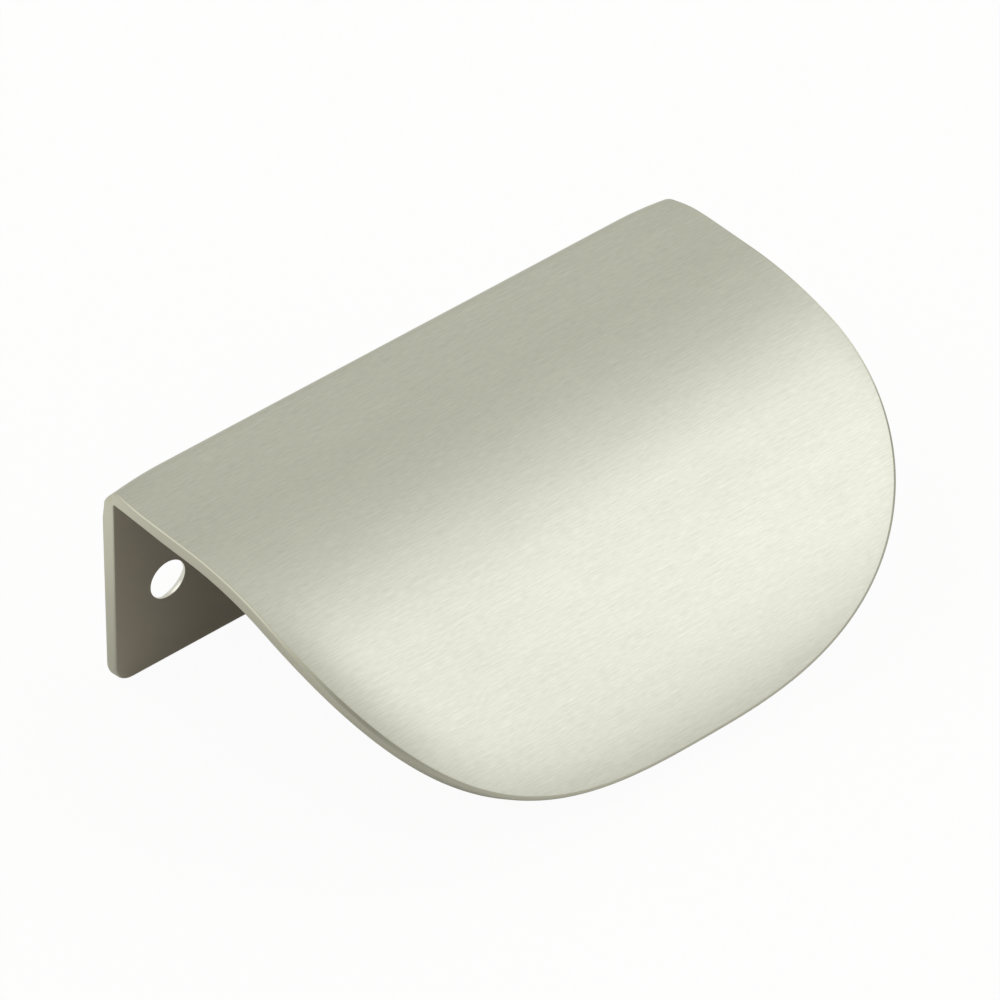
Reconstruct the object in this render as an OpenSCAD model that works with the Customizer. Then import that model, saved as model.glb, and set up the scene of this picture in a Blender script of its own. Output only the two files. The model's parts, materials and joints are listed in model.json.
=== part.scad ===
// Edge pull: one sheet of steel, cut flat, folded once and bent into a lip.
// The flange is screwed against the back of a drawer front, the level run lies over
// the front's top edge, and the lip hangs down before it as the finger grip.
//
// X runs along the fold, the lip points to -Y and the flange hangs towards -Z. The
// origin lies on the mounting face, midway between the two screw holes.

/* [Sheet] */
// Width of the pull, along its fold
pull_w = 79; // [76:1:120]
// Thickness of the sheet
sheet_t = 1.6; // [1.5:0.1:1.7]
// Radius of the cut edge's arris at the outer face
outer_r = 0.25; // [0.1:0.05:0.5]
// Radius of the cut edge's arris at the inner face
inner_r = 0.2; // [0.1:0.05:0.5]
// How far the cut leans in, from the outer face to the inner one
cut_slant = 0.17; // [0:0.01:0.3]

/* [Flange] */
// Height of the flange, from the top face down to its lower edge
flange_h = 26.5; // [24:0.5:35]
// Radius of the flange's two lower corners
corner_r = 2.5; // [1.5:0.5:4]
// Outside radius of the fold
fold_r = 2; // [2:0.1:3]
// How far the fold's ends are drawn in at the outer face
neck = 0.7; // [0:0.05:1.5]
// Distance between the centres of the two screw holes
hole_spacing = 64; // [32, 64]
// Diameter of the screw holes at the mounting face
hole_d = 4.7; // [3.5:0.1:5.5]
// Length of the screw holes' straight bore, from the mounting face to the countersink
sink_land = 0.3; // [0.2:0.1:1]
// Angle between the countersink's sides
sink_angle = 90; // [82, 90]
// Depth of the hole centres below the top face
hole_drop = 15.6; // [12:0.1:18]

/* [Lip] */
// Length of the lip's top face, from the end of the fold to the front edge
lip_len = 58.2; // [54:0.1:62]
// Length of the level run between the fold and the bend
level_run = 12; // [8:0.5:14]
// Radius of the top face over the bend, which runs on to the front edge
bend_r = 40.5; // [38:0.5:50]
// Length of the straight side edges, from the end of the fold
side_run = 24.5; // [16:0.5:30]
// Fullness of the rounded front where it leaves the side edges, where 2 is an ellipse
side_power = 2.8; // [2:0.1:3.5]
// Fullness of the rounded front at its middle, where 2 is an ellipse
front_power = 2.1; // [2:0.1:3]

/* [Hidden] */
nickel = [0.71, 0.71, 0.65];
$fn = 360;

// Where the folded sheet stands in the frame
back_y = sheet_t;
top_z = hole_drop;

// Lengths along the top face, measured from the end of the fold
fold_len = fold_r * PI / 2;
flange_end = -(fold_len + flange_h - fold_r);

// Centres of the fold and the bend, as [y, z]
fold_c = [back_y - fold_r, top_z - fold_r];
bend_c = [fold_c[0] - level_run, top_z - bend_r];

// How fast the neck fades towards the flange's foot and along the lip, and after how many
// of these lengths it is over
neck_down = 1.3;
neck_up = 3.1;
neck_reach = 2.4;

// Steps of the cut outline
front_steps = 44;
corner_steps = 6;
fold_steps = 24;
side_steps = 4;
// Flats that each rounded arris is made of
edge_steps = 3;

// How far the section runs past the cut outline before it is trimmed
spare = 2;
// How far the trimming solid's walls stand out of the sheet's two faces
proud = 0.2;

// Direction square to the sheet, away from the drawer, where the sheet slopes down by a
function outward(a) = [-sin(a), cos(a)];

// Slope of the sheet at the length s, in degrees below level
function slope(s) =
    s <= -fold_len ? -90 :
    s <= 0 ? s / fold_r * 180 / PI :
    s <= level_run ? 0 : (s - level_run) / bend_r * 180 / PI;

// Point of the outer face at the length s, as [y, z]
function face_point(s) =
    s <= -fold_len ? [back_y, fold_c[1] + s + fold_len] :
    s <= 0 ? fold_c + fold_r * outward(slope(s)) :
    s <= level_run ? [fold_c[0] - s, top_z] : bend_c + bend_r * outward(slope(s));

// Point of the folded sheet over the flat blank's point [x, s], h above the outer face
function carried(p, h) =
    let (q = face_point(p[1]) + h * outward(slope(p[1])))
    [p[0], q[0], q[1]];

// Share of the neck at the length s, 1 at the fold's middle and fading on both sides of it
function drawn_in(s) =
    let (off = s + fold_len / 2)
    exp(-pow(max(off / neck_up, -off / neck_down), 2));

// Right half of the flat blank's outline for one row of the cut edge, from the flange's
// foot to the front
function half_blank(row) =
    let (w = pull_w / 2 - row[1], foot = flange_end + row[1], reach = lip_len - row[1] - side_run,
         c = max(corner_r - row[1], 0.1),
         neck_start = -fold_len - neck_reach * neck_down, neck_end = neck_reach * neck_up)
    [
        for (i = [0:corner_steps])
            let (a = 90 * i / corner_steps)
            [w - c + c * sin(a), foot + c - c * cos(a)],
        for (i = [0:fold_steps])
            let (s = neck_start + (neck_end - neck_start) * i / fold_steps)
            [w - row[2] * drawn_in(s), s],
        for (i = [0:side_steps - 1]) [w, level_run + (side_run - level_run) * i / side_steps],
        for (i = [0:front_steps])
            let (a = 90 * i / front_steps)
            [w * pow(cos(a), 2 / side_power),
             side_run + reach * pow(sin(a), 2 / front_power)]
    ];

// Whole outline of the blank, from the flange's foot up the right side and down the left
function blank(row) =
    let (half = half_blank(row), n = len(half))
    concat(half, [for (i = [n - 2:-1:0]) [-half[i][0], half[i][1]]]);

// One rounded arris as [depth below its face, inset], from the face to the wall
function arris(r) =
    [
        for (i = [1:edge_steps])
            let (a = 90 * i / edge_steps)
            [r * (1 - cos(a)), r * (1 - sin(a))]
    ];

// Rows of the cut edge as [height above the outer face, inset, neck], from outside to
// inside, the first and the last run out proud of the sheet's faces
function edge_rows() =
    let (run_out = proud / tan(45 / edge_steps), inner = arris(inner_r),
         rows = concat(
             [[-proud, outer_r + run_out]],
             arris(outer_r),
             [for (i = [edge_steps - 1:-1:0]) [sheet_t - inner[i][0], inner[i][1]]],
             [[sheet_t + proud, inner_r + run_out]]
         ))
    [
        for (row = rows)
            let (share = row[0] / sheet_t)
            [-row[0], row[1] + cut_slant * share, neck * (1 - share)]
    ];

// Solid whose walls are the sheet's cut edges, all the way round
module trimming_solid() {
    rows = edge_rows();
    m = len(rows);
    n = len(blank(rows[0]));
    half = (n - 1) / 2;
    points = [for (r = rows) for (p = blank(r)) carried(p, r[0])];
    walls = [
        for (j = [0:m - 2]) for (i = [0:n - 1])
            let (k = (i + 1) % n, a = j * n, b = (j + 1) * n)
            each [[a + i, b + i, b + k], [a + i, b + k, a + k]]
    ];
    caps = [
        for (i = [0:half - 1])
            let (k = i + 1, far = n - 1 - i, far_k = n - 2 - i, last = (m - 1) * n)
            each k == half
                ? [[i, k, far], [last + i, last + far, last + k]]
                : [[i, k, far_k, far], [last + i, last + far, last + far_k, last + k]]
    ];
    polyhedron(points = points, faces = concat(walls, caps), convexity = 6);
}

// Moves a shape to the point c in two steps, a round one and the small rest of it
module placed(c) {
    round_part = [for (v = c) round(v * 100) / 100];
    translate(round_part)
        translate(c - round_part)
            children();
}

// The part of a ring about the centre c that lies within the given corners
module ring_sector(c, inner, outer, corners) {
    intersection() {
        placed(c)
            difference() {
                circle(r = outer);
                circle(r = inner);
            }
        polygon(corners);
    }
}

// The sheet's section, a little longer than the finished pull at both ends
module section() {
    far = 2 * bend_r;
    end_a = slope(lip_len + spare);
    translate([back_y - sheet_t, top_z - flange_h - spare])
        square([sheet_t, flange_h + spare - fold_r]);
    ring_sector(fold_c, fold_r - sheet_t, fold_r,
        [fold_c, fold_c + [far, 0], fold_c + [far, far], fold_c + [0, far]]);
    translate([bend_c[0], top_z - sheet_t])
        square([level_run, sheet_t]);
    ring_sector(bend_c, bend_r - sheet_t, bend_r,
        [bend_c, bend_c + [0, far], bend_c + far * outward(end_a / 2), bend_c + far * outward(end_a)]);
}

// Screw hole: a short bore at the mounting face that opens into a countersink
module screw_hole() {
    sink_h = sheet_t + spare - sink_land;
    translate([0, back_y / 2, 0])
        rotate([90, 0, 0])
            cylinder(h = sheet_t + spare, d = hole_d, center = true);
    translate([0, sink_land + sink_h, 0])
        rotate([90, 0, 0])
            cylinder(h = sink_h, r1 = hole_d / 2 + sink_h * tan(sink_angle / 2), r2 = hole_d / 2);
}

// The folded sheet with its two screw holes
module edge_pull() {
    color(nickel)
        difference() {
            intersection() {
                translate([-pull_w / 2 - spare, 0, 0])
                    rotate([90, 0, 90])
                        linear_extrude(height = pull_w + 2 * spare)
                            section();
                trimming_solid();
            }
            for (side = [-1, 1])
                translate([side * hole_spacing / 2, 0, 0])
                    screw_hole();
        }
}

edge_pull();
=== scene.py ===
import json
import math

import bpy
from mathutils import Matrix, Quaternion, Vector


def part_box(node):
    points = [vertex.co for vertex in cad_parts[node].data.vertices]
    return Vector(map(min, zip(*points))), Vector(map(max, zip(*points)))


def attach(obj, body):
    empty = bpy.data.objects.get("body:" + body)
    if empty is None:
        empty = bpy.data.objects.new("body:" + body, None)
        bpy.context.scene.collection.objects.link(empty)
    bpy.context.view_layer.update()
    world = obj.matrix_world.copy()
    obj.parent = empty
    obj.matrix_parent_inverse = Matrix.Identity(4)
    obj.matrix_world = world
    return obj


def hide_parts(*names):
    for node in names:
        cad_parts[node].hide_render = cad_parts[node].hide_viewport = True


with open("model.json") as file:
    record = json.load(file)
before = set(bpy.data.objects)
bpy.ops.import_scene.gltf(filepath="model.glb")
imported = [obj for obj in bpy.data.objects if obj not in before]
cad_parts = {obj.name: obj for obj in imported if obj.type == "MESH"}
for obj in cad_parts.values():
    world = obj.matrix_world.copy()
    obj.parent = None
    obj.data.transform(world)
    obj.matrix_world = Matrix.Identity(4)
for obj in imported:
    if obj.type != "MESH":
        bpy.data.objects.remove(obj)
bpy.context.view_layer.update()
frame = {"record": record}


# Camera
# A long lens looks down on the pull from its front left corner, as the photograph does.
MM = 0.001
camera_azimuth = math.radians(-41.73)
camera_elevation = math.radians(39.29)
camera_roll = math.radians(0.73)
camera_distance = 1003.7 * MM
camera_aim = Vector((-1.36, -18.00, 5.64)) * MM
camera_lens = 342.7
camera_sensor = 36
nearest_seen = 10 * MM

away = Vector((
    math.sin(camera_azimuth) * math.cos(camera_elevation),
    -math.cos(camera_azimuth) * math.cos(camera_elevation),
    math.sin(camera_elevation),
))
camera = bpy.data.objects.new("camera", bpy.data.cameras.new("camera"))
camera.data.sensor_width = camera_sensor
camera.data.lens = camera_lens
camera.data.clip_start = nearest_seen
camera.location = camera_aim + camera_distance * away
camera.rotation_mode = "QUATERNION"
camera.rotation_quaternion = away.to_track_quat("Z", "Y") @ Quaternion((0, 0, 1), camera_roll)
bpy.context.scene.collection.objects.link(camera)
bpy.context.scene.camera = camera


# Brushed faces
# Satin nickel plate over a sheet that was brushed along its fold. The fine scratches all run
# the same way, so the sheen spreads across them and the surface shows short faint streaks.
nickel_light = (0.71, 0.71, 0.656, 1)
nickel_dark = (0.61, 0.61, 0.563, 1)
# Length and width of the three layers of streaks, and how much the last two add to the first
nick_size = (1.2 * MM, 0.13 * MM)
scratch_size = (6 * MM, 0.16 * MM)
cloud_size = (30 * MM, 6 * MM)
scratch_share = 0.9
cloud_share = 0.3
# The sums of the three layers at which the plate is at its darkest and at its lightest
dark_sum = 0.7
light_sum = 1.5


class Field:
    """A number that varies over a surface or a mesh, so that its formulas are written as sums"""

    def __init__(self, socket):
        self.socket = socket

    def __add__(self, other):
        return worked_out("ADD", self, other)

    def __radd__(self, other):
        return worked_out("ADD", other, self)

    def __sub__(self, other):
        return worked_out("SUBTRACT", self, other)

    def __rsub__(self, other):
        return worked_out("SUBTRACT", other, self)

    def __mul__(self, other):
        return worked_out("MULTIPLY", self, other)

    def __rmul__(self, other):
        return worked_out("MULTIPLY", other, self)

    def __truediv__(self, other):
        return worked_out("DIVIDE", self, other)

    def __rtruediv__(self, other):
        return worked_out("DIVIDE", other, self)

    def __pow__(self, other):
        return worked_out("POWER", self, other)

    def __neg__(self):
        return worked_out("MULTIPLY", self, -1)


def worked_out(operation, *values):
    """The field that a math node makes of fields and numbers"""
    tree = next(value.socket.id_data for value in values if isinstance(value, Field))
    return Field(add_node(tree, "ShaderNodeMath", enumerate(values), operation=operation).outputs[0])


def set_inputs(node, values):
    """Sets a node's inputs, by name or place, to plain values, fields or other nodes' sockets"""
    for place, value in dict(values).items():
        source = value.socket if isinstance(value, Field) else value
        if isinstance(source, bpy.types.NodeSocket):
            node.id_data.links.new(source, node.inputs[place])
        else:
            node.inputs[place].default_value = source


def add_node(tree, kind, values=(), **settings):
    """A new node with its settings and its inputs"""
    node = tree.nodes.new(kind)
    for name, value in settings.items():
        setattr(node, name, value)
    set_inputs(node, values)
    return node


def new_material(name, values):
    """A material, its node tree and its shader, which has the given values"""
    material = bpy.data.materials.new(name)
    material.use_nodes = True
    shader = material.node_tree.nodes["Principled BSDF"]
    set_inputs(shader, values)
    return material, material.node_tree, shader


def streaks(tree, size, detail):
    """Noise that is drawn out along the fold, read from the sheet's flat layout"""
    length, width = size
    layout = add_node(tree, "ShaderNodeUVMap", uv_map="flat_layout")
    stretch = add_node(tree, "ShaderNodeMapping", {
        "Vector": layout.outputs["UV"], "Scale": (1 / width, 1 / length, 1),
    })
    noise = add_node(tree, "ShaderNodeTexNoise", {
        "Vector": stretch.outputs["Vector"], "Scale": 1, "Detail": detail,
    }, noise_dimensions="2D")
    return Field(noise.outputs["Fac"])


def ramp(tree, value, stops):
    """A colour that follows a number, from stops of the number and the colour there"""
    first, last = stops[0][0], stops[-1][0]
    scaled = add_node(tree, "ShaderNodeMapRange", {"Value": value, "From Min": first, "From Max": last})
    node = add_node(tree, "ShaderNodeValToRGB", {"Fac": scaled.outputs["Result"]})
    points = node.color_ramp.elements
    while len(points) < len(stops):
        points.new(1)
    for point, (at, colour) in zip(points, stops):
        point.position = (at - first) / (last - first)
        point.color = colour
    return node.outputs["Color"]


brushed, tree, shader = new_material("brushed_nickel", {
    "Metallic": 1, "Anisotropic": 0.8, "Roughness": 0.36,
})
worn = (
    streaks(tree, nick_size, 1)
    + scratch_share * streaks(tree, scratch_size, 2)
    + cloud_share * streaks(tree, cloud_size, 1)
)
tangent = add_node(tree, "ShaderNodeTangent", direction_type="UV_MAP", uv_map="flat_layout")
set_inputs(shader, {
    "Base Color": ramp(tree, worn, ((dark_sum, nickel_dark), (light_sum, nickel_light))),
    "Tangent": tangent.outputs["Tangent"],
})


# Inside faces
# The flange's front and the underside of the lip: the same plate, left as the brushing of the blank made
# them,
# with painted shade under the lip: darker and warmer, most of all along the middle, where the lip hides the
# light.
deep_painted_shade = (0.39, 0.355, 0.305, 1)
faint_painted_shade = (0.5, 0.455, 0.39, 1)
# How far from the middle the painted shade starts to fade, where it is at its faintest, and how uneven its
# edge is
deepest_shade_to = 28 * MM
faint_shade_from = 42 * MM
uneven = 4 * MM

inside, tree, shader = new_material("nickel_inside", {"Metallic": 1, "Roughness": 0.4})
layout = add_node(tree, "ShaderNodeUVMap", uv_map="flat_layout")
layout_parts = add_node(tree, "ShaderNodeSeparateXYZ", {0: layout.outputs["UV"]})
from_middle = worked_out("ABSOLUTE", Field(layout_parts.outputs["Y"]))
# Painted shade: the inside colour is darkest near the middle and fainter towards the ends
shade_reach = from_middle + uneven * streaks(tree, nick_size, 2)
set_inputs(shader, {
    "Base Color": ramp(tree, shade_reach, ((deepest_shade_to, deep_painted_shade), (faint_shade_from, faint_painted_shade))),
})


# Cut edges
# The rim of the blank: cut, tumbled smooth and plated with the faces, but never brushed. Painted
# light and shade lie along it: it is painted a little darker towards the lip's front, with a painted
# highlight on the outer arris along the straight sides and painted shade where they run into the rounded
# front.
edge_colour = (0.62, 0.61, 0.53)
# The painted light and shade laid on that colour, as a factor, by the millimetres along the outline
# from the fold's end, on the wall and on the outer arris
wall_painted_light = (
    (-24, 0.9), (-16, 0.975), (-10, 1.1), (-5, 1.16), (2, 1.08), (8, 0.98), (24, 0.95), (32, 0.96),
    (40, 0.9), (44, 0.92), (50, 0.87), (56, 0.9),
)
arris_painted_light = (
    (-24, 0.9), (-3, 1.0), (2, 1.07), (16, 1.0), (24, 1.09), (28, 1.09), (32, 0.92), (36, 0.65),
    (40, 0.62), (44, 0.7), (50, 0.78), (55, 0.86), (58, 0.97),
)
# The stretch of the arris's turn over which its own painted light and shade give way to the wall's
arris_fade = (0.6, 1)


def edge_painted_light(tree, place, tones):
    """The cut edge's colour with painted light and shade, which follows its tones along the outline"""
    return ramp(tree, place, [
        (at * MM, tuple(tone * part for part in edge_colour) + (1,)) for at, tone in tones
    ])


cut_edge, tree, shader = new_material("nickel_cut_edge", {"Metallic": 1, "Roughness": 0.36})
rim_place = add_node(tree, "ShaderNodeAttribute", attribute_name="rim_place")
rim_parts = add_node(tree, "ShaderNodeSeparateXYZ", {0: rim_place.outputs["Vector"]})
on_wall = add_node(tree, "ShaderNodeMapRange", {
    "Value": rim_parts.outputs["Y"], "From Min": arris_fade[0], "From Max": arris_fade[1],
})
# Painted highlight and shade on the rim: the arris's painted light blends into the wall's
edge_shading_mix = add_node(tree, "ShaderNodeMix", {
    0: on_wall.outputs["Result"],
    6: edge_painted_light(tree, rim_parts.outputs["X"], arris_painted_light),
    7: edge_painted_light(tree, rim_parts.outputs["X"], wall_painted_light),
}, data_type="RGBA")
set_inputs(shader, {"Base Color": edge_shading_mix.outputs[2]})


# Punched holes
# The walls of the two screw holes, where the punch left bright bare steel.
punched, tree, shader = new_material("punched_steel", {
    "Metallic": 1, "Roughness": 0.3, "Base Color": (0.93, 0.92, 0.87, 1),
})


# Folded sheet
# The whole pull: one sheet of steel, cut flat, folded once into the flange and bent into the
# lip, with two screw holes punched in the flange. It hooks over the top edge of a drawer front,
# and two screws through the flange hold it to the front's back.
bolts = next(m for m in frame["record"]["mounts"] if m["kind"] == "bolt_pattern")
low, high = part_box("edge_pull")
sizes = {
    "Width": high.x - low.x,
    "Sheet": high.y - bolts["pos_m"][1],
    "Back": high.y,
    "Top": high.z,
    "Foot": low.z,
    "Foot corner": 2.5 * MM,
    "Fold radius": 2 * MM,
    "Level run": 12 * MM,
    "Bend radius": 40.5 * MM,
    "Lip length": 58.2 * MM,
    "Side run": 24.5 * MM,
    "Side power": 2.8,
    "Front power": 2.1,
    # The arrises, of which the outer one grows rounder towards the foot and the front
    "Outer edge radius": 0.25 * MM,
    "Foot edge radius": 0.65 * MM,
    "Front edge radius": 0.5 * MM,
    "Front edge start": 26 * MM,
    "Front edge run": 20 * MM,
    "Inner edge radius": 0.2 * MM,
    # How far the cut leans in at the inner face, and the share of it that is lost on the lip
    "Cut slant": 0.17 * MM,
    "Slant lost": 0.8,
    "Slant fade start": 2 * MM,
    "Slant fade run": 6 * MM,
    # How high the lip's outer face stands over its rim, and how that fades
    "Crown height": 0.3 * MM,
    "Crown width": 7 * MM,
    "Crown run": 20 * MM,
    "Crown power": 2.5,
    # How far the fold's ends sink and draw in, and how far that reaches each way
    "Shoulder depth": 0.45 * MM,
    "Shoulder reach down": 1.6 * MM,
    "Shoulder reach along": 2.8 * MM,
    "Neck depth": 0.7 * MM,
    "Neck reach down": 1.3 * MM,
    "Neck reach along": 3.1 * MM,
    "Hole spacing": bolts["dims"]["spacing_x_mm"] * MM,
    "Hole radius": bolts["dims"]["hole_r_mm"] * MM,
    "Hole land": 0.3 * MM,
    "Sink overlap": 0.5 * MM,
}
# Steps along half of the outline, from the middle of the foot to the middle of the front
outline_steps = {"foot": 1, "corner": 8, "flange": 10, "fold": 24, "side": 30, "front": 120}
# Steps round the rim, from the middle of the outer face to the middle of the inner one
rim_steps = {"outer": 1, "crown": 14, "outer_arc": 8, "wall": 2, "inner_arc": 6, "ring": 6, "inner": 1}
# How much closer the crown's rings lie towards the rim, where 1 is evenly spread
crown_crowding = 1.6
# The width of the ring of faces round the foot, in corner radii, and how long before the fold
# the crown's width takes over
foot_ring_share = 0.8
ring_change = 8 * MM
hole_steps = 72
weld_distance = 1e-6
sharp_angle = math.radians(35)
quarter = math.pi / 2

tree = bpy.data.node_groups.new("folded sheet", "GeometryNodeTree")
tree.interface.new_socket("Geometry", in_out="INPUT", socket_type="NodeSocketGeometry")
tree.interface.new_socket("Geometry", in_out="OUTPUT", socket_type="NodeSocketGeometry")
inputs = {
    name: tree.interface.new_socket(name, in_out="INPUT", socket_type="NodeSocketFloat")
    for name in sizes
}
group_input = add_node(tree, "NodeGroupInput")
size = {name: Field(group_input.outputs[name]) for name in sizes}


def sine(angle):
    return worked_out("SINE", angle)


def cosine(angle):
    return worked_out("COSINE", angle)


def lower(a, b):
    return worked_out("MINIMUM", a, b)


def higher(a, b):
    return worked_out("MAXIMUM", a, b)


def within(value, most):
    """The value, kept between nothing and the given most"""
    return higher(lower(value, most), 0)


def fractions(counter, steps):
    """How far the counter has come through each stretch, as a field from 0 to 1 by name"""
    done, shares = 0, {}
    for name, count in steps.items():
        shares[name] = within((counter - done) / count, 1)
        done += count
    return shares


# The grid's two counters: along the outline and round the rim
rows = sum(outline_steps.values())
columns = sum(rim_steps.values())
grid = add_node(tree, "GeometryNodeMeshGrid", {
    "Size X": rows, "Size Y": columns, "Vertices X": rows + 1, "Vertices Y": columns + 1,
})
position = add_node(tree, "GeometryNodeInputPosition")
place = add_node(tree, "ShaderNodeSeparateXYZ", {0: position.outputs[0]})
row = Field(place.outputs["X"]) + rows / 2
column = Field(place.outputs["Y"]) + columns / 2
along = fractions(row, outline_steps)
round_rim = fractions(column, rim_steps)

# Half of the flat blank's outline: x from the middle, s along the sheet from the fold's end
fold_length = size["Fold radius"] * quarter
foot_s = size["Foot"] - size["Top"] + size["Fold radius"] - fold_length
flange_length = -fold_length - foot_s
corner = size["Foot corner"]
corner_turn = along["corner"] * quarter
front_turn = along["front"] * quarter
reach = size["Lip length"] - size["Side run"]
side_round = 2 / size["Side power"]
front_round = 2 / size["Front power"]
half_width = size["Width"] / 2
side_x = (half_width - corner) * along["foot"] + corner * sine(corner_turn)
outline_x = side_x * higher(cosine(front_turn), 0) ** side_round
outline_s = (
    foot_s
    + corner * (1 - cosine(corner_turn))
    + (flange_length - corner) * along["flange"]
    + fold_length * along["fold"]
    + size["Side run"] * along["side"]
    + reach * sine(front_turn) ** front_round
)

# The direction square to the outline, in the plane of the blank
normal_x = sine(corner_turn) * higher(cosine(front_turn), 0) ** (2 - side_round) / (half_width * side_round)
normal_s = sine(front_turn) ** (2 - front_round) / (reach * front_round)
normal_s = normal_s - cosine(corner_turn) / (half_width * side_round)
normal_length = (normal_x * normal_x + normal_s * normal_s) ** 0.5
normal_x = normal_x / normal_length
normal_s = normal_s / normal_length

# The rim's section: how far in from the outline, and how high over the outer face. The inner
# arris is nearly sharp, and the outer one grows rounder towards the foot and the front.
down_flange = within(-(outline_s + fold_length) / flange_length, 1)
down_lip = within((outline_s - size["Front edge start"]) / size["Front edge run"], 1)
outer_edge = (
    size["Outer edge radius"]
    + (size["Foot edge radius"] - size["Outer edge radius"]) * down_flange
    + (size["Front edge radius"] - size["Outer edge radius"]) * down_lip
)
inner_edge = size["Inner edge radius"]
outer_turn = round_rim["outer_arc"] * quarter
inner_turn = round_rim["inner_arc"] * quarter
foot_ring = corner * foot_ring_share
near_fold = within((outline_s + fold_length + ring_change) / ring_change, 1)
ring = foot_ring + (size["Crown width"] - foot_ring) * near_fold
inset = (
    (ring - outer_edge) * (1 - round_rim["crown"]) ** crown_crowding
    + outer_edge * (1 - sine(outer_turn))
    + inner_edge * (1 - cosine(inner_turn))
    + (ring - inner_edge) * round_rim["ring"]
)
height = (
    outer_edge * (cosine(outer_turn) - 1)
    - (size["Sheet"] - outer_edge - inner_edge) * round_rim["wall"]
    - inner_edge * sine(inner_turn)
)


def hump(before, after):
    """A soft rise to 1 at the fold's middle, by how far it reaches towards the foot and the lip"""
    off = outline_s + fold_length / 2
    share = higher(off / after, -off / before)
    return worked_out("EXPONENT", -(share * share))


# The lip stands a little proud within its rim, from the bend on. Where the sheet is folded, its
# outer face sinks and draws in at the ends, as the metal there is stretched.
rim_share = within(1 - inset / ring, 1)
depth_share = within(-height / size["Sheet"], 1)
on_bend = within((outline_s - size["Level run"]) / size["Crown run"], 1)
on_bend = on_bend * on_bend * (3 - 2 * on_bend)
crown = size["Crown height"] * on_bend * (1 - rim_share ** size["Crown power"])
sunk = hump(size["Shoulder reach down"], size["Shoulder reach along"])
shoulder = size["Shoulder depth"] * sunk * rim_share ** 2
height = height + crown - shoulder * (1 - depth_share)
neck = size["Neck depth"] * hump(size["Neck reach down"], size["Neck reach along"])
slant_fade = within((outline_s - size["Slant fade start"]) / size["Slant fade run"], 1)
slant = size["Cut slant"] * (1 - size["Slant lost"] * slant_fade)
inset = inset + neck * (1 - depth_share) + slant * depth_share

# The flat sheet
across = round_rim["outer"] * (1 - round_rim["inner"])
flat_x = (outline_x - normal_x * inset) * across
flat_s = outline_s - normal_s * inset

# The folded sheet: each stretch of it adds its own run to the point before it
fold_turn = within(flat_s + fold_length, fold_length) / size["Fold radius"]
bend_turn = higher(flat_s - size["Level run"], 0) / size["Bend radius"]
slope = fold_turn - quarter + bend_turn
face_y = (
    size["Back"]
    - size["Fold radius"] * (1 - cosine(fold_turn))
    - within(flat_s, size["Level run"])
    - size["Bend radius"] * sine(bend_turn)
)
face_z = (
    size["Top"]
    - size["Fold radius"] * (1 - sine(fold_turn))
    + lower(flat_s + fold_length, 0)
    - size["Bend radius"] * (1 - cosine(bend_turn))
)


def made(kind, values=(), **settings):
    """What a new node of the sheet's tree puts out first"""
    return add_node(tree, kind, values, **settings).outputs[0]


def vector(**parts):
    """A vector whose X, Y and Z are the given parts, or 0"""
    return made("ShaderNodeCombineXYZ", parts)


def stored(geometry, name, value, kind, domain):
    """The geometry with a value stored on it under a name"""
    return made("GeometryNodeStoreNamedAttribute", {
        "Geometry": geometry, "Name": name, "Value": value,
    }, data_type=kind, domain=domain)


def joined(*geometries):
    """Several geometries as one"""
    join = add_node(tree, "GeometryNodeJoinGeometry")
    for geometry in geometries:
        tree.links.new(geometry, join.inputs[0])
    return join.outputs[0]


# The finish of each stretch of the rim, where each point lies on the flat sheet, and for the
# cut edge how far along the outline it is and how far round the rim
finishes = (brushed, cut_edge, inside, punched)
past_crown = worked_out("GREATER_THAN", column, rim_steps["outer"] + rim_steps["crown"])
past_edge = worked_out("GREATER_THAN", column, columns - rim_steps["inner"] - rim_steps["ring"])
round_edge = round_rim["outer_arc"] + round_rim["wall"] + round_rim["inner_arc"]
half = made("GeometryNodeReplaceMaterial", {"Geometry": grid.outputs["Mesh"], "New": brushed})
half = stored(half, "finish", past_crown + past_edge, "FLOAT", "FACE")
half = stored(half, "rim_place", vector(X=outline_s, Y=round_edge), "FLOAT_VECTOR", "CORNER")
half = stored(half, "flat_layout", vector(X=flat_s, Y=flat_x), "FLOAT2", "CORNER")
half = made("GeometryNodeSetPosition", {
    "Geometry": half,
    "Position": vector(X=flat_x, Y=face_y - height * sine(slope), Z=face_z + height * cosine(slope)),
})

# The left half mirrors the right one
mirrored = made("GeometryNodeTransform", {"Geometry": half, "Scale": (-1, 1, 1)})
mirrored = made("GeometryNodeFlipFaces", {"Mesh": mirrored})
right_layout = made("GeometryNodeInputNamedAttribute", {"Name": "flat_layout"}, data_type="FLOAT_VECTOR")
left_layout = made("ShaderNodeVectorMath", {0: right_layout, 1: (1, -1, 1)}, operation="MULTIPLY")
mirrored = stored(mirrored, "flat_layout", left_layout, "FLOAT2", "CORNER")
sheet = made("GeometryNodeMergeByDistance", {"Geometry": joined(half, mirrored), "Distance": weld_distance})

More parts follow.
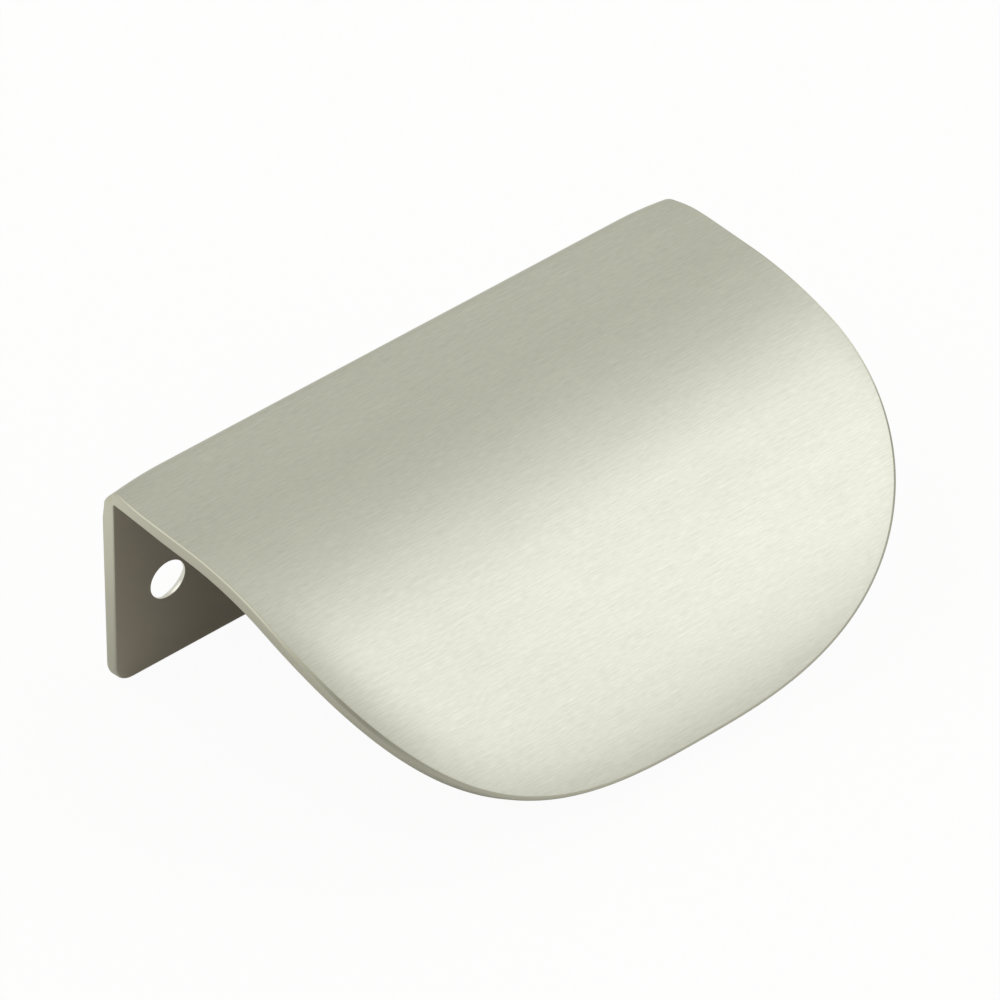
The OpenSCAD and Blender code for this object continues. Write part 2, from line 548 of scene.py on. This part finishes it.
# The punch for the screw holes: a round bore, three sheets long, that opens into a countersink
# at the back face. The sink starts inside the bore, so that no two of their faces lie together.
bore = made("GeometryNodeTransform", {
    "Geometry": made("GeometryNodeMeshCylinder", {
        "Vertices": hole_steps, "Radius": size["Hole radius"], "Depth": size["Sheet"] * 3,
    }),
    "Rotation": (quarter, 0, 0),
    "Translation": vector(Y=size["Back"] - size["Sheet"] / 2),
})
sink_depth = 2 * (size["Sheet"] - size["Hole land"])
sink = made("GeometryNodeTransform", {
    "Geometry": made("GeometryNodeMeshCone", {
        "Vertices": hole_steps,
        "Radius Top": size["Hole radius"] + sink_depth,
        "Radius Bottom": size["Hole radius"] - size["Sink overlap"],
        "Depth": sink_depth + size["Sink overlap"],
    }),
    "Rotation": (-quarter, 0, 0),
    "Translation": vector(Y=size["Back"] - size["Sheet"] + size["Hole land"] - size["Sink overlap"]),
})
places = made("GeometryNodeMeshLine", {
    "Count": 2,
    "Start Location": vector(X=-size["Hole spacing"] / 2),
    "Offset": vector(X=size["Hole spacing"]),
})
punches = made("GeometryNodeInstanceOnPoints", {"Points": places, "Instance": joined(bore, sink)})
punches = made("GeometryNodeRealizeInstances", {0: punches})
punches = made("GeometryNodeReplaceMaterial", {"Geometry": punches, "New": brushed})
punches = stored(punches, "finish", float(finishes.index(punched)), "FLOAT", "FACE")
pierced = made("GeometryNodeMeshBoolean", {
    "Mesh 1": sheet, "Mesh 2": punches, "Self Intersection": True,
}, operation="DIFFERENCE", solver="EXACT")

# Smooth faces, with a sharp line wherever two faces meet at more than a slight angle
edge_angle = add_node(tree, "GeometryNodeInputMeshEdgeAngle")
sharp = worked_out("GREATER_THAN", Field(edge_angle.outputs["Unsigned Angle"]), sharp_angle)
smooth = made("GeometryNodeSetShadeSmooth", {"Geometry": pierced, "Shade Smooth": True})
smooth = made("GeometryNodeSetShadeSmooth", {
    "Geometry": smooth, "Selection": sharp, "Shade Smooth": False,
}, domain="EDGE")

whole = made("GeometryNodeRealizeInstances", {0: smooth})
finish = Field(made("GeometryNodeInputNamedAttribute", {"Name": "finish"}))
for number, material in enumerate(finishes[1:], 1):
    above = worked_out("GREATER_THAN", finish, number - 0.5)
    below = worked_out("LESS_THAN", finish, number + 0.5)
    whole = made("GeometryNodeSetMaterial", {
        "Geometry": whole, "Selection": above * below, "Material": material,
    })
add_node(tree, "NodeGroupOutput", {0: whole})

folded_sheet = bpy.data.objects.new("folded_sheet", bpy.data.meshes.new("folded_sheet"))
bpy.context.scene.collection.objects.link(folded_sheet)
modifier = folded_sheet.modifiers.new("folded sheet", "NODES")
modifier.node_group = tree
for name, value in sizes.items():
    modifier[inputs[name].identifier] = value
evaluated = folded_sheet.evaluated_get(bpy.context.evaluated_depsgraph_get())
folded_sheet.data = bpy.data.meshes.new_from_object(evaluated)
folded_sheet.modifiers.clear()
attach(folded_sheet, "root")
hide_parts("edge_pull")


# Floor and light
# A white table top under the pull and even light from all round. One large soft lamp high at
# the front right lays its sheen along the bend, and two others, high at the back left and low
# at the right, lift the faces and the rim there.
table_reach = 3
# How much of plain white the table adds to its paint, as seen and as mirrored in the metal
white_seen = 0.95
white_mirrored = 0.05

floor_mesh = bpy.data.meshes.new("floor")
floor_mesh.from_pydata(
    [(x * table_reach, y * table_reach, low.z) for x, y in ((-1, -1), (1, -1), (1, 1), (-1, 1))],
    [], [(0, 1, 2, 3)],
)
floor = bpy.data.objects.new("floor", floor_mesh)
bpy.context.scene.collection.objects.link(floor)
floor_paint, tree, shader = new_material("white_table", {
    "Base Color": (0.88, 0.88, 0.88, 1), "Roughness": 0.8, "Specular IOR Level": 0,
})
rays = add_node(tree, "ShaderNodeLightPath")
straight = Field(rays.outputs["Is Camera Ray"]) + Field(rays.outputs["Is Transmission Ray"])
white_share = white_seen * straight + white_mirrored * Field(rays.outputs["Is Glossy Ray"])
blend = add_node(tree, "ShaderNodeMixShader", {
    "Fac": white_share,
    1: shader.outputs[0],
    2: add_node(tree, "ShaderNodeEmission").outputs[0],
})
set_inputs(tree.nodes["Material Output"], {"Surface": blend.outputs[0]})
floor_mesh.materials.append(floor_paint)

world = bpy.data.worlds.new("studio")
bpy.context.scene.world = world
world.use_nodes = True
set_inputs(world.node_tree.nodes["Background"], {"Color": (1, 1, 0.88, 1), "Strength": 0.63})


def soft_lamp(name, aside, forward, width, height, radiance):
    """A large soft lamp one metre off, its way given as two turns in degrees: aside from the
    upright plane across the fold, and forward from straight up"""
    aside, forward = math.radians(aside), math.radians(forward)
    lamp = bpy.data.objects.new(name, bpy.data.lights.new(name, "AREA"))
    lamp.data.shape = "RECTANGLE"
    lamp.data.size = width
    lamp.data.size_y = height
    lamp.data.energy = radiance * math.pi * width * height
    up = Vector((0, math.cos(forward), math.sin(forward)))
    way = Vector((
        math.sin(aside),
        -math.cos(aside) * math.sin(forward),
        math.cos(aside) * math.cos(forward),
    ))
    lamp.location = way
    lamp.rotation_mode = "QUATERNION"
    lamp.rotation_quaternion = Matrix((up.cross(way), up, way)).transposed().to_quaternion()
    bpy.context.scene.collection.objects.link(lamp)


soft_lamp("key_lamp", aside=37.5, forward=40, width=0.52, height=1.5, radiance=0.85)
soft_lamp("back_lamp", aside=-27, forward=-32, width=1.0, height=1.0, radiance=0.5)
soft_lamp("side_lamp", aside=80, forward=-60, width=0.5, height=0.5, radiance=1.0)

bpy.context.scene.view_settings.view_transform = "Standard"
